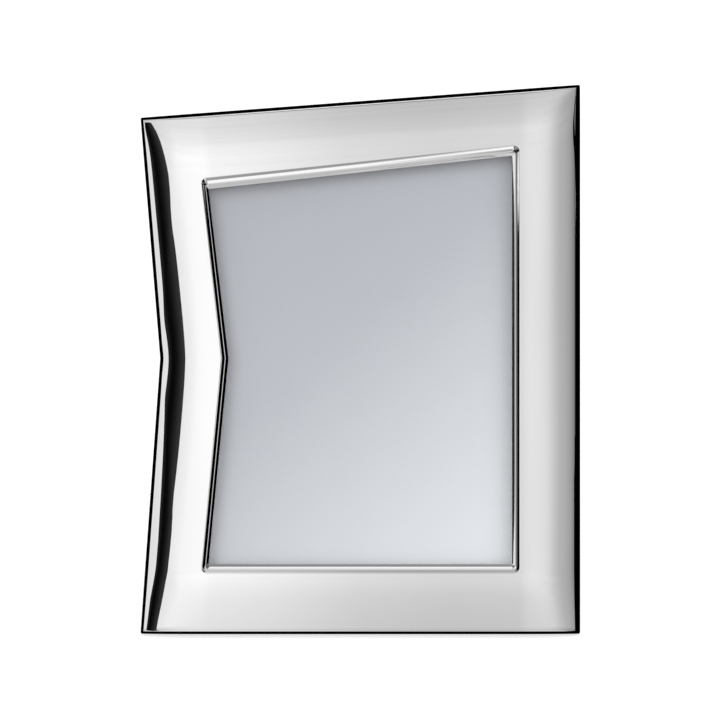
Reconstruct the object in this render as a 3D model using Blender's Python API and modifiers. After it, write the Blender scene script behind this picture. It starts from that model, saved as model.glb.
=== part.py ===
"""Silver photo frame: a domed silver frame on an easel strut, with a slanting top and a kinked left side.

Each piece is modelled flat first. x runs to the right, z up the face from the frame's lower edge, and a
depth is measured forward from the back plane, towards the viewer, so that y is minus the depth. An empty
then leans the frame back on its strut, and a second empty opens the strut about its hinge pin.
"""

import math

import bmesh
import bpy
from mathutils import Matrix, Vector

# Outline of the face
FACE_WIDTH = 0.2090
RIGHT_HEIGHT = 0.2610
TOP_DROP = 0.0157
KINK_INSET = 0.0094
KINK_HEIGHT = 0.1309

# Pressed shell: its border is measured from an outer corner to the lip's corner, along both edges
SHEET = 0.0007
BORDER = 0.0289
DOME_RISE = 0.0086
DOME_REACH = 0.0286
LOW_SLOPE_SHARE = 0.34
LOW_SLOPE_POWER = 1.2
LOW_SHOULDER = 0.0030
LIP_SIDE = 0.0035
LIP_TOP = 0.0046
LIP_BOTTOM = 0.0039
LIP_RISE = 0.0006
FLANGE_LIFT = 0.0003
HEM = 0.0030

# Shape of the shell's section: turns of the dome's quarter ellipse, then shares of the lip's width with
# shares of its rise, and with shares of the flange's drop
DOME_TURNS = (12, 25, 38, 51, 64, 77, 90)
LIP_SHAPE = ((0.14, 0.6), (0.34, 1.0), (0.55, 0.75))
FLANGE_SHAPE = ((0.74, 0.2), (0.92, 0.6), (1.0, 1.0))

# Places of the points along a side, as shares of the border's width from a corner and from the kink: close
# together near the corners, where the dome falls to two edges at once
CORNER_SHARES = (0.0, 0.12, 0.28, 0.5, 0.76, 1.0)
KINK_SHARES = (0.0, 0.3, 0.8)

# Photograph, which the lip covers by this much at each side and end, and the stack behind the lip
PHOTO_SIDE_COVER = 0.0029
PHOTO_END_COVER = 0.00265
REBATE_MARGIN = 0.0010
PANE_PLAY = 0.0005
GLASS_THICK = 0.0020
CARD_THICK = 0.0003
PAD_THICK = 0.0028
PANEL_THICK = 0.0030
PANEL_SINK = 0.0004
GLASS_RECESS = 0.0038

# Wooden core
CORE_CLEARANCE = 0.0005
TONGUE_REACH = 0.0008
TONGUE_CLEARANCE = 0.0003
CORE_SHARES = (0.18, 0.38, 0.6, 0.82, 0.98)
MITRE_SHIFT = 0.0002

# Turn buttons and their screws
BUTTON_THICK = 0.0008
BUTTON_WIDTH = 0.0090
BUTTON_REACH = 0.0110
BUTTON_TAIL = 0.0050
BUTTON_PIVOT = 0.0070
SIDE_BUTTON_SPREAD = 0.1140
LOW_BUTTON_SPREAD = 0.0920
SCREW_RADIUS = 0.0011
SCREW_LENGTH = 0.0085
SCREW_TIP = 0.0025
SCREW_HEAD_RADIUS = 0.0027
SCREW_HEAD_HEIGHT = 0.0012
SLOT_WIDTH = 0.0007
SLOT_DEPTH = 0.0006

# Easel strut and its hinge
LEAN = math.radians(13.0)
STRUT_SPREAD = math.radians(10.0)
HINGE_DROP = 0.05265
LEG_THICK = 0.0030
LEG_TOP_WIDTH = 0.0360
LEG_FOOT_WIDTH = 0.0620
LEG_TOP_DROP = 0.0060
LEG_EDGE = 0.0005
PLATE_THICK = 0.0008
PLATE_ABOVE = 0.0300
PLATE_BELOW = 0.0030
PIN_STANDOFF = 0.0029
PIN_RADIUS = 0.0010
PIN_HEAD_RADIUS = 0.0017
PIN_HEAD_HEIGHT = 0.0006
EAR_SPAN = 0.0220
EAR_THICK = 0.0008
PLATE_EAR_RADIUS = 0.0028
LEAF_THICK = 0.0008
LEAF_OFFSET = 0.0014
LEAF_DROP = 0.0260
LEAF_EAR_RADIUS = 0.0023
RIVET_RADIUS = 0.0012
RIVET_DEPTH = 0.0036
RIVET_HEAD_RADIUS = 0.0022
RIVET_HEAD_HEIGHT = 0.0009
PLATE_RIVET_SPREAD = 0.0140
PLATE_RIVET_RISE = 0.0170
RIVET_PITCH = 0.0090
LEAF_RIVET_DROP = 0.0120

# Running gap between touching pieces, and sides of a small round
GAP = 0.0003
ROUND_STEPS = 16
HALF_ROUND_STEPS = 8
MERGE = 0.00001

# Depths worked out from the stack
rails_back = SHEET + GAP
panel_back = rails_back + PANEL_SINK
pad_back = panel_back + PANEL_THICK + GAP
card_back = pad_back + PAD_THICK + GAP
glass_back = card_back + CARD_THICK + GAP
glass_front = glass_back + GLASS_THICK
lip_crest = glass_front + GLASS_RECESS
face_top = lip_crest - LIP_RISE
wall_height = face_top - DOME_RISE
button_front = rails_back - GAP
screw_seat = button_front - BUTTON_THICK - GAP
plate_front = panel_back - GAP
plate_back = plate_front - PLATE_THICK
pin_depth = plate_back - PIN_STANDOFF

# Corners of the three outlines, clockwise from the top left, with the kink last
face_corners = [
    Vector((0.0, RIGHT_HEIGHT - TOP_DROP)),
    Vector((FACE_WIDTH, RIGHT_HEIGHT)),
    Vector((FACE_WIDTH, 0.0)),
    Vector((0.0, 0.0)),
    Vector((KINK_INSET, KINK_HEIGHT)),
]
inward = [Vector((1, -1)), Vector((-1, -1)), Vector((-1, 1)), Vector((1, 1)), Vector((1, 0))]
lip_corners = [corner + way * BORDER for corner, way in zip(face_corners, inward)]
lip_widths = [
    (LIP_SIDE, LIP_TOP),
    (LIP_SIDE, LIP_TOP),
    (LIP_SIDE, LIP_BOTTOM),
    (LIP_SIDE, LIP_BOTTOM),
    (LIP_SIDE, LIP_SIDE),
]
sight_corners = [
    corner + Vector((way.x * width[0], way.y * width[1]))
    for corner, way, width in zip(lip_corners, inward, lip_widths)
]

# The photograph and its rebate are plain rectangles, centred on the window
sight_x = [corner.x for corner in sight_corners]
sight_z = [corner.y for corner in sight_corners]
window_x = (min(sight_x) + max(sight_x)) / 2
window_z = (min(sight_z) + max(sight_z)) / 2
photo_half_width = (max(sight_x) - min(sight_x)) / 2 + PHOTO_SIDE_COVER
photo_half_height = (max(sight_z) - min(sight_z)) / 2 + PHOTO_END_COVER
rebate_half_width = photo_half_width + REBATE_MARGIN
rebate_half_height = photo_half_height + REBATE_MARGIN
pane_half_width = rebate_half_width - PANE_PLAY
pane_half_height = rebate_half_height - PANE_PLAY

# The strut hangs from the back panel, a fixed drop below its upper edge
hinge_height = window_z + pane_half_height - HINGE_DROP

for old in list(bpy.data.objects):
    bpy.data.objects.remove(old, do_unlink=True)

parts = bpy.data.collections.new("silver_photo_frame")
cutters = bpy.data.collections.new("cutters")
bpy.context.scene.collection.children.link(parts)
bpy.context.scene.collection.children.link(cutters)


# Materials

def material(name, colour, roughness, metallic=0.0, transmission=0.0):
    made = bpy.data.materials.new(name)
    made.use_nodes = True
    shader = made.node_tree.nodes["Principled BSDF"]
    shader.inputs["Base Color"].default_value = (*colour, 1.0)
    shader.inputs["Roughness"].default_value = roughness
    shader.inputs["Metallic"].default_value = metallic
    shader.inputs["Transmission Weight"].default_value = transmission
    return made


silver = material("polished_silver_plate", (0.93, 0.92, 0.90), 0.06, 1.0)
core_wood = material("stained_core_wood", (0.13, 0.065, 0.035), 0.45)
clear_glass = material("clear_glass", (0.95, 0.98, 0.97), 0.02, 0.0, 1.0)
blue_card = material("pale_blue_card", (0.60, 0.64, 0.72), 0.60)
brown_board = material("brown_corrugated_board", (0.46, 0.31, 0.18), 0.90)
panel_wood = material("stained_panel_wood", (0.15, 0.075, 0.040), 0.40)
button_steel = material("brass_plated_steel", (0.72, 0.55, 0.28), 0.30, 1.0)
bright_steel = material("bright_steel", (0.62, 0.62, 0.61), 0.28, 1.0)


# Helpers: every part becomes one named object under the empty that carries it

def empty(name, location, angle, parent=None):
    made = bpy.data.objects.new(name, None)
    made.location = location
    made.rotation_euler = (angle, 0.0, 0.0)
    made.parent = parent
    parts.objects.link(made)
    return made


def part(name, data, finish, carrier, location=(0, 0, 0), rotation=(0, 0, 0)):
    made = bpy.data.objects.new(name, data)
    made.location = location
    made.rotation_euler = rotation
    made.parent = carrier
    made.data.materials.append(finish)
    parts.objects.link(made)
    return made


def cutter(name, data, carrier, location=(0, 0, 0), rotation=(0, 0, 0)):
    made = bpy.data.objects.new(name, data)
    made.location = location
    made.rotation_euler = rotation
    made.parent = carrier
    made.hide_render = True
    made.display_type = "WIRE"
    cutters.objects.link(made)
    return made


def combine(target, tool, operation):
    step = target.modifiers.new(f"{operation.lower()}_{tool.name}", "BOOLEAN")
    step.operation = operation
    step.solver = "EXACT"
    step.object = tool


def finish_mesh(name, bm):
    mesh = bpy.data.meshes.new(name)
    bm.to_mesh(mesh)
    bm.free()
    return mesh


def box_mesh(name, low, high):
    """A box between two corners, given as x, depth and height."""
    bm = bmesh.new()
    bmesh.ops.create_cube(bm, size=1.0)
    size = Vector((high[0] - low[0], high[1] - low[1], high[2] - low[2]))
    middle = Vector(((high[0] + low[0]) / 2, -(high[1] + low[1]) / 2, (high[2] + low[2]) / 2))
    bmesh.ops.scale(bm, vec=size, verts=bm.verts)
    bmesh.ops.translate(bm, vec=middle, verts=bm.verts)
    return finish_mesh(name, bm)


def rod_mesh(name, radius, length, axis):
    """A round rod centred on the origin, along X or Y."""
    bm = bmesh.new()
    bmesh.ops.create_cone(
        bm, cap_ends=True, segments=ROUND_STEPS, radius1=radius, radius2=radius, depth=length
    )
    turn = Matrix.Rotation(math.pi / 2, 3, "Y" if axis == "X" else "X")
    bmesh.ops.rotate(bm, cent=(0, 0, 0), matrix=turn, verts=bm.verts)
    return finish_mesh(name, bm)


def loft_mesh(name, rings, capped):
    """Skin over rings of equal length, each a list of x, depth and height."""
    bm = bmesh.new()
    loops = [[bm.verts.new((x, -depth, z)) for x, depth, z in ring] for ring in rings]
    count = len(loops[0])
    for near, far in zip(loops, loops[1:]):
        for i in range(count):
            j = (i + 1) % count
            bm.faces.new((near[i], far[i], far[j], near[j]))
    if capped:
        bm.faces.new(reversed(loops[0]))
        bm.faces.new(loops[-1])
        bmesh.ops.recalc_face_normals(bm, faces=bm.faces)
    return finish_mesh(name, bm)


def turned(name, profile, finish, carrier, location, rotation):
    """A turned piece: radius and height pairs from its top to its bottom, spun about local Z."""
    bm = bmesh.new()
    verts = [bm.verts.new((radius, 0.0, height)) for radius, height in profile]
    for upper, lower in zip(verts, verts[1:]):
        bm.edges.new((upper, lower))
    made = part(name, finish_mesh(name, bm), finish, carrier, location, rotation)
    spin = made.modifiers.new("spin", "SCREW")
    spin.steps = ROUND_STEPS
    spin.render_steps = ROUND_STEPS
    spin.use_merge_vertices = True
    spin.merge_threshold = MERGE
    return made


def domed_head(radius, height, base):
    """Profile points of a low domed head, from its crown down to its rim at base."""
    turns = [math.radians(angle) for angle in (0, 30, 60, 90)]
    return [(radius * math.sin(turn), base + height * math.cos(turn)) for turn in turns]


# Shape of the face

def line_distance(point, start, end):
    along = (end - start).normalized()
    offset = point - start
    return abs(along.x * offset.y - along.y * offset.x)


def run_distance(point, start, end):
    """Distance to a straight run, measured to its end where the point lies past it."""
    run = end - start
    share = max(0.0, min(1.0, (point - start).dot(run) / run.length_squared))
    return (point - start - run * share).length


def edge_distances(point):
    top_left, top_right, low_right, low_left, kink = face_corners
    left = min(run_distance(point, low_left, kink), run_distance(point, kink, top_left))
    top = line_distance(point, top_left, top_right)
    right = line_distance(point, top_right, low_right)
    bottom = line_distance(point, low_right, low_left)
    return left, top, right, bottom


def side_rise(distance):
    """Share of the dome's rise at a distance from the left, top or right edge: a quarter ellipse."""
    share = min(1.0, distance / DOME_REACH)
    return math.sqrt(1.0 - (1.0 - share) ** 2)


def low_rise(distance):
    """The same from the bottom edge, where the face slopes gently down to a tight round shoulder."""
    slope = LOW_SLOPE_SHARE * (1.0 - min(1.0, distance / DOME_REACH)) ** LOW_SLOPE_POWER
    short = 1.0 - min(1.0, distance / LOW_SHOULDER)
    shoulder = LOW_SHOULDER / DOME_RISE * (1.0 - math.sqrt(1.0 - short ** 2))
    return 1.0 - slope - shoulder


def face_depth(point):
    """The rises from the four sides multiply, so the dome falls to both edges at a corner."""
    left, top, right, bottom = edge_distances(point)
    rise = side_rise(left) * side_rise(top) * side_rise(right) * low_rise(bottom)
    return wall_height + DOME_RISE * rise


def parallel_inset(distance):
    """Corners of the face outline, moved in by a distance from each edge."""
    moved = []
    count = len(face_corners)
    for i, corner in enumerate(face_corners):
        before = (corner - face_corners[i - 1]).normalized()
        after = (face_corners[(i + 1) % count] - corner).normalized()
        normal_before = Vector((before.y, -before.x))
        normal_after = Vector((after.y, -after.x))
        reach = distance / (1.0 + normal_before.dot(normal_after))
        moved.append(corner + (normal_before + normal_after) * reach)
    return moved


def border_corners(share):
    """Corners of the ring that lies a share of the way from the outer edge to the lip."""
    return [face.lerp(lip, share) for face, lip in zip(face_corners, lip_corners)]


def lip_ring_corners(share):
    return [lip.lerp(sight, share) for lip, sight in zip(lip_corners, sight_corners)]


def side_shares(start, end):
    """Places of a side's points, from 0 to 1, not counting its far end."""
    kink = face_corners[-1]
    stretch = BORDER / (end - start).length
    near = KINK_SHARES if start == kink else CORNER_SHARES
    far = KINK_SHARES if end == kink else CORNER_SHARES
    shares = [stretch * share for share in near]
    shares.append(0.5)
    shares += [1.0 - stretch * share for share in reversed(far)]
    return shares[:-1]


def ring_points(corners):
    points = []
    count = len(corners)
    for i, corner in enumerate(corners):
        j = (i + 1) % count
        for share in side_shares(face_corners[i], face_corners[j]):
            points.append(corner.lerp(corners[j], share))
    return points


def flat_ring(corners, depth):
    return [(point.x, depth, point.y) for point in ring_points(corners)]


def domed_ring(corners):
    return [(point.x, face_depth(point), point.y) for point in ring_points(corners)]


frame_lean = empty("frame_lean", (0, 0, 0), -LEAN)


# Front shell: hem, wall, dome and lip are one pressed sheet, its hem turned in over the core's back

def front_shell():
    rings = [flat_ring(parallel_inset(HEM), 0.0)]
    rings.append(flat_ring(face_corners, 0.0))
    rings.append(domed_ring(face_corners))
    for turn in DOME_TURNS:
        rings.append(domed_ring(border_corners(1.0 - math.cos(math.radians(turn)))))
    for share, rise in LIP_SHAPE:
        rings.append(flat_ring(lip_ring_corners(share), face_top + LIP_RISE * rise))
    flange_drop = face_top - glass_front - GAP - FLANGE_LIFT
    for share, drop in FLANGE_SHAPE:
        rings.append(flat_ring(lip_ring_corners(share), face_top - flange_drop * drop))
    made = part("front_shell", loft_mesh("front_shell", rings, False), silver, frame_lean)
    wall = made.modifiers.new("sheet", "SOLIDIFY")
    wall.thickness = SHEET
    wall.offset = -1.0
    wall.use_even_offset = True
    return made


front_shell()


# Wooden core rails: a mitred rail behind each run of the shell, rebated for the stack

RAIL_NAMES = (
    "core_rail_top", "core_rail_right", "core_rail_bottom", "core_rail_left_lower", "core_rail_left_upper"
)


def core_rail(index):
    name = RAIL_NAMES[index]
    far = (index + 1) % len(face_corners)
    along = (face_corners[far] - face_corners[index]).normalized() * MITRE_SHIFT
    tongue = border_corners(1.0 + TONGUE_REACH / BORDER)

    def section(outer, depth):
        start, end = outer[index] + along, outer[far] - along
        inner_end, inner_start = tongue[far] - along, tongue[index] + along
        return [(point.x, depth, point.y) for point in (start, end, inner_end, inner_start)]

    def front_depth(outer):
        return min(face_depth(outer[index]), face_depth(outer[far])) - SHEET - CORE_CLEARANCE

    edge = parallel_inset(SHEET + GAP)
    rings = [section(edge, rails_back), section(edge, front_depth(edge))]
    for share in CORE_SHARES:
        outer = border_corners(share)
        rings.append(section(outer, front_depth(outer)))
    return part(name, loft_mesh(name, rings, True), core_wood, frame_lean)


rebate_cutter = cutter(
    "rebate_cutter",
    box_mesh(
        "rebate_cutter",
        (window_x - rebate_half_width, -rails_back, window_z - rebate_half_height),
        (window_x + rebate_half_width, glass_front + TONGUE_CLEARANCE, window_z + rebate_half_height),
    ),
    frame_lean,
)
rails = [core_rail(index) for index in range(len(RAIL_NAMES))]
for rail in rails:
    combine(rail, rebate_cutter, "DIFFERENCE")
rail_top, rail_right, rail_bottom, rail_left_lower, rail_left_upper = rails


# Stack behind the lip: glass, card, pad and back panel

def stack_sheet(name, half_width, half_height, back, thickness, finish):
    low = (window_x - half_width, back, window_z - half_height)
    high = (window_x + half_width, back + thickness, window_z + half_height)
    return part(name, box_mesh(name, low, high), finish, frame_lean)


stack_sheet("glass_pane", pane_half_width, pane_half_height, glass_back, GLASS_THICK, clear_glass)
stack_sheet("insert_card", photo_half_width, photo_half_height, card_back, CARD_THICK, blue_card)
stack_sheet("corrugated_pad", pane_half_width, pane_half_height, pad_back, PAD_THICK, brown_board)
back_panel = stack_sheet(
    "back_panel", pane_half_width, pane_half_height, panel_back, PANEL_THICK, panel_wood
)


# Turn buttons: a flat tongue with round ends, on a slotted screw driven into the rail

def button_outline():
    radius = BUTTON_WIDTH / 2
    points = []
    for centre, first in ((BUTTON_REACH - radius, -0.5), (radius - BUTTON_TAIL, 0.5)):
        for step in range(HALF_ROUND_STEPS + 1):
            turn = math.pi * (first + step / HALF_ROUND_STEPS)
            points.append((centre + radius * math.cos(turn), radius * math.sin(turn)))
    return points


def hole_outline(radius):
    turns = [2 * math.pi * step / ROUND_STEPS for step in range(ROUND_STEPS)]
    return [(radius * math.cos(turn), radius * math.sin(turn)) for turn in turns]


def flat_curve(name, outlines, thickness):
    """A flat plate with holes: 2D outlines, filled and extruded by half the thickness each way."""
    shape = bpy.data.curves.new(name, "CURVE")
    shape.dimensions = "2D"
    shape.fill_mode = "BOTH"
    shape.extrude = thickness / 2
    for outline in outlines:
        spline = shape.splines.new("POLY")
        spline.points.add(len(outline) - 1)
        for point, (x, y) in zip(spline.points, outline):
            point.co = (x, y, 0.0, 1.0)
        spline.use_cyclic_u = True
    return shape


def screw_profile():
    head = domed_head(SCREW_HEAD_RADIUS, SCREW_HEAD_HEIGHT, 0.0)
    shank = [
        (SCREW_RADIUS, 0.0),
        (SCREW_RADIUS, SCREW_TIP - SCREW_LENGTH),
        (0.0, -SCREW_LENGTH),
    ]
    return head + shank


def turn_button(place, x, z, pointing, slot_turn, rail):
    """One button at a pivot, with its screw and the screw's hole.

    pointing is the angle of its tongue, and slot_turn that of the slot in the screw's head.
    """
    outlines = [button_outline(), hole_outline(SCREW_RADIUS + GAP)]
    name = f"turn_button_{place}"
    middle = button_front - BUTTON_THICK / 2
    part(
        name, flat_curve(name, outlines, BUTTON_THICK), button_steel, frame_lean,
        (x, -middle, z), (math.pi / 2, -pointing, 0.0),
    )
    facing_back = (-math.pi / 2, 0.0, 0.0)
    screw = turned(
        f"button_screw_{place}", screw_profile(), bright_steel, frame_lean,
        (x, -screw_seat, z), facing_back,
    )
    slot = box_mesh(
        f"slot_{place}",
        (-SCREW_HEAD_RADIUS, -SCREW_HEAD_HEIGHT, -SLOT_WIDTH / 2),
        (SCREW_HEAD_RADIUS, SLOT_DEPTH, SLOT_WIDTH / 2),
    )
    slot_tool = cutter(
        f"slot_{place}", slot, frame_lean,
        (x, SCREW_HEAD_HEIGHT - screw_seat, z), (0.0, slot_turn, 0.0),
    )
    combine(screw, slot_tool, "DIFFERENCE")
    hole = rod_mesh(f"screw_hole_{place}", SCREW_RADIUS + GAP, 2 * SCREW_LENGTH, "Y")
    combine(
        rail, cutter(f"screw_hole_{place}", hole, frame_lean, (x, -screw_seat - GAP, z)), "DIFFERENCE"
    )


left_pivot = window_x - rebate_half_width - BUTTON_PIVOT
right_pivot = window_x + rebate_half_width + BUTTON_PIVOT
top_pivot = window_z + rebate_half_height + BUTTON_PIVOT
bottom_pivot = window_z - rebate_half_height - BUTTON_PIVOT
upper_z = window_z + SIDE_BUTTON_SPREAD / 2
lower_z = window_z - SIDE_BUTTON_SPREAD / 2
low_right = window_x + LOW_BUTTON_SPREAD / 2
low_left = window_x - LOW_BUTTON_SPREAD / 2
turn_button("top", window_x, top_pivot, -math.pi / 2, 0.4, rail_top)
turn_button("right_upper", right_pivot, upper_z, math.pi, 1.9, rail_right)
turn_button("right_lower", right_pivot, lower_z, math.pi, 2.6, rail_right)
turn_button("bottom_right", low_right, bottom_pivot, math.pi / 2, 1.2, rail_bottom)
turn_button("bottom_left", low_left, bottom_pivot, math.pi / 2, -0.5, rail_bottom)
turn_button("left_lower", left_pivot, lower_z, 0.0, 0.8, rail_left_lower)
turn_button("left_upper", left_pivot, upper_z, 0.0, -0.9, rail_left_upper)


# Strut hinge plate: a steel strip on the back panel with two ears that hold the pin

hinge_x = window_x
plate_half_width = EAR_SPAN / 2 + EAR_THICK
pin_place = (hinge_x, -pin_depth, hinge_height)


def ear_mesh(name, x, radius, root_depth, centre_depth, centre_z):
    """A flat ear between two x values: square where it leaves the plate, round about the pin."""
    outward = math.copysign(radius, centre_depth - root_depth)
    outline = [(root_depth, centre_z - radius)]
    for step in range(HALF_ROUND_STEPS + 1):
        turn = math.pi * (step / HALF_ROUND_STEPS - 0.5)
        outline.append((centre_depth + outward * math.cos(turn), centre_z + radius * math.sin(turn)))
    outline.append((root_depth, centre_z + radius))
    bm = bmesh.new()
    verts = [bm.verts.new((x, -depth, z)) for depth, z in outline]
    face = bm.faces.new(verts)
    raised = bmesh.ops.extrude_face_region(bm, geom=[face])["geom"]
    moved = [item for item in raised if isinstance(item, bmesh.types.BMVert)]
    bmesh.ops.translate(bm, vec=(EAR_THICK, 0, 0), verts=moved)
    bmesh.ops.recalc_face_normals(bm, faces=bm.faces)
    return finish_mesh(name, bm)


def hinge_plate():
    low = (hinge_x - plate_half_width, plate_back, hinge_height - PLATE_BELOW)
    high = (hinge_x + plate_half_width, plate_front, hinge_height + PLATE_ABOVE)
    plate = part(
        "strut_hinge_plate", box_mesh("strut_hinge_plate", low, high), bright_steel, frame_lean
    )
    inner = (plate_back + plate_front) / 2
    for side, x in (("left", -plate_half_width), ("right", EAR_SPAN / 2)):
        ear = ear_mesh(f"plate_ear_{side}", hinge_x + x, PLATE_EAR_RADIUS, inner, pin_depth,
                       hinge_height)
        combine(plate, cutter(f"plate_ear_{side}", ear, frame_lean), "UNION")
    bore = rod_mesh("plate_pin_hole", PIN_RADIUS + GAP, 2 * EAR_SPAN, "X")
    combine(plate, cutter("plate_pin_hole", bore, frame_lean, pin_place), "DIFFERENCE")
    return plate


def hinge_pin():
    seat = plate_half_width + GAP
    profile = [
        (0.0, seat + PIN_HEAD_HEIGHT),
        (PIN_HEAD_RADIUS, seat + PIN_HEAD_HEIGHT),
        (PIN_HEAD_RADIUS, seat),
        (PIN_RADIUS, seat),
        (PIN_RADIUS, -seat),
        (PIN_HEAD_RADIUS, -seat),
        (PIN_HEAD_RADIUS, -seat - PIN_HEAD_HEIGHT),
        (0.0, -seat - PIN_HEAD_HEIGHT),
    ]
    turned("strut_hinge_pin", profile, bright_steel, frame_lean, pin_place, (0.0, math.pi / 2, 0.0))


def rivet_profile():
    head = domed_head(RIVET_HEAD_RADIUS, RIVET_HEAD_HEIGHT, 0.0)
    return head + [(RIVET_RADIUS, 0.0), (RIVET_RADIUS, -RIVET_DEPTH), (0.0, -RIVET_DEPTH)]


def rivet(name, carrier, x, y, z, through):
    """A domed rivet whose head faces the back, and its clearance hole through each piece given."""
    turned(name, rivet_profile(), bright_steel, carrier, (x, y, z), (-math.pi / 2, 0.0, 0.0))
    hole = rod_mesh(f"hole_{name}", RIVET_RADIUS + GAP, 2 * (RIVET_DEPTH + GAP), "Y")
    tool = cutter(f"hole_{name}", hole, carrier, (x, y, z))
    for piece in through:
        combine(piece, tool, "DIFFERENCE")


hinge_plate_part = hinge_plate()
hinge_pin()
number = 0
for row in (0, 1):
    for side in (-1, 1):
        number += 1
        rivet(
            f"plate_rivet_{number}", frame_lean,
            hinge_x + side * PLATE_RIVET_SPREAD / 2, -(plate_back - GAP),
            hinge_height + PLATE_RIVET_RISE + row * RIVET_PITCH,
            (hinge_plate_part, back_panel),
        )


# Strut: modelled folded, about the pin, and opened by its empty

strut_swing = LEAN + STRUT_SPREAD
strut_axis = empty("strut_axis", pin_place, strut_swing, frame_lean)
leg_back = LEAF_OFFSET - GAP
leg_front = leg_back - LEG_THICK
pin_world_height = hinge_height * math.cos(LEAN) + pin_depth * math.sin(LEAN)


def strut_leg():
    """A tapered board whose foot is cut flat to the table at the open angle."""
    bm = bmesh.new()
    bmesh.ops.create_cube(bm, size=1.0)
    for vert in bm.verts:
        y = leg_back if vert.co.y > 0 else leg_front
        foot_z = -(pin_world_height + y * math.sin(STRUT_SPREAD)) / math.cos(STRUT_SPREAD)
        is_top = vert.co.z > 0
        half = (LEG_TOP_WIDTH if is_top else LEG_FOOT_WIDTH) / 2
        vert.co = (math.copysign(half, vert.co.x), y, -LEG_TOP_DROP if is_top else foot_z)
    long_edges = [e for e in bm.edges if abs(e.verts[0].co.z - e.verts[1].co.z) > LEG_FOOT_WIDTH]
    bmesh.ops.bevel(bm, geom=long_edges, offset=LEG_EDGE, segments=2, profile=0.5, affect="EDGES")
    return part("strut_leg", finish_mesh("strut_leg", bm), panel_wood, strut_axis)


def hinge_leaf():
    """A plate on the leg's back with two ears on the pin, and a heel above it that stops the swing."""
    stop_gap = PIN_STANDOFF - GAP
    heel = (stop_gap + LEAF_OFFSET * math.cos(strut_swing)) / math.sin(strut_swing)
    half_width = EAR_SPAN / 2 - GAP
    low = (-half_width, -LEAF_OFFSET - LEAF_THICK, -LEAF_DROP)
    high = (half_width, -LEAF_OFFSET, heel)
    leaf = part("strut_hinge_leaf", box_mesh("strut_hinge_leaf", low, high), bright_steel, strut_axis)
    inner = -LEAF_OFFSET - LEAF_THICK / 2
    for side, x in (("left", -half_width), ("right", half_width - EAR_THICK)):
        ear = ear_mesh(f"leaf_ear_{side}", x, LEAF_EAR_RADIUS, inner, 0.0, 0.0)
        combine(leaf, cutter(f"leaf_ear_{side}", ear, strut_axis), "UNION")
    bore = rod_mesh("leaf_pin_hole", PIN_RADIUS + GAP, 2 * EAR_SPAN, "X")
    combine(leaf, cutter("leaf_pin_hole", bore, strut_axis), "DIFFERENCE")
    return leaf


leg_part = strut_leg()
leaf_part = hinge_leaf()
for row in (0, 1):
    rivet(
        f"leaf_rivet_{row + 1}", strut_axis,
        0.0, LEAF_OFFSET + LEAF_THICK + GAP, -LEAF_RIVET_DROP - row * RIVET_PITCH,
        (leaf_part, leg_part),
    )


# The origin is the middle of the footprint, on the table

def world_corners():
    bpy.context.view_layer.update()
    graph = bpy.context.evaluated_depsgraph_get()
    points = []
    for piece in parts.objects:
        if piece.type == "EMPTY":
            continue
        seen = piece.evaluated_get(graph)
        mesh = seen.to_mesh()
        points += [seen.matrix_world @ vert.co for vert in mesh.vertices]
        seen.to_mesh_clear()
    low = [min(point[axis] for point in points) for axis in range(3)]
    high = [max(point[axis] for point in points) for axis in range(3)]
    return low, high


lowest, highest = world_corners()
frame_lean.location = (
    -(lowest[0] + highest[0]) / 2,
    -(lowest[1] + highest[1]) / 2,
    -lowest[2],
)
bpy.context.view_layer.update()
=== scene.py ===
import math

import bmesh
import bpy
from mathutils import Matrix, Vector


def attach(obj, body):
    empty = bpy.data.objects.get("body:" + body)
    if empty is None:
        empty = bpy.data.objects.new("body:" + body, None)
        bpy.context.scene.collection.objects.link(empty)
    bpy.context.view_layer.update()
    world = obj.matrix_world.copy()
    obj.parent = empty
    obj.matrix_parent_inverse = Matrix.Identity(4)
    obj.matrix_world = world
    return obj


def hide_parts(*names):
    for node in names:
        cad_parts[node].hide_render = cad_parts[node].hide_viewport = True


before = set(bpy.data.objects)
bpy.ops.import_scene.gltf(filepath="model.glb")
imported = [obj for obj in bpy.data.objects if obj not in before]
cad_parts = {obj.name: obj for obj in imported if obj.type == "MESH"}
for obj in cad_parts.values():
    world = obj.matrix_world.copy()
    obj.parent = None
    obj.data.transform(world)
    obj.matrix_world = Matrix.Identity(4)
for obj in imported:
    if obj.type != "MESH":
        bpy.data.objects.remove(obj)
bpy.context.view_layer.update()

# Front shell: one sheet of silver plated metal, pressed to a domed face with a thin outer wall. A
# raised bead runs round the window, a short flange turns down to the glass, and a narrow hem is
# folded in over the back of the wooden core. All of it is polished to a mirror.

LEAN = math.radians(13.0)
FACE_WIDTH = 0.2090
RIGHT_HEIGHT = 0.2610
TOP_DROP = 0.0157
LEFT_HEIGHT = RIGHT_HEIGHT - TOP_DROP
KINK_INSET = 0.0094
KINK_HEIGHT = 0.1309
KINK_SOFTNESS = 0.025
KINK_START = 0.0015
SHEET = 0.0007
BORDER = 0.0292
WALL_HEIGHT = 0.0050
WALL_MIDDLE = 0.0016
DOME_RISE = 0.0086
DOME_REACH = 0.0286
LOW_SLOPE_SHARE = 0.34
LOW_SLOPE_POWER = 1.2
LOW_SHOULDER = 0.0030
SIDE_STRAIGHT = 0.0020
LOW_STRAIGHT = 0.0012
LIP_SIDE = 0.0038
LIP_TOP = 0.0053
LIP_BOTTOM = 0.0046
HEM = 0.0030
HEM_CORNER = 0.0005
FOLD = 0.0008
OUTER_CORNER = 0.0008
LIP_CORNER = 0.0025
SIGHT_CORNER = 0.0002
CORNER_STEPS = 6
DOME_STEPS = 30
DOME_END = (0.985, 1.0)
SIDE_STEPS = 18
SIDE_MOST = 0.45
MIDDLE_STEPS = 10
LIP_STEPS = 44
FLANGE_DEPTH = 0.0026
FLANGE_STEPS = (0.15, 0.4, 0.7, 1.0)
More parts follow.
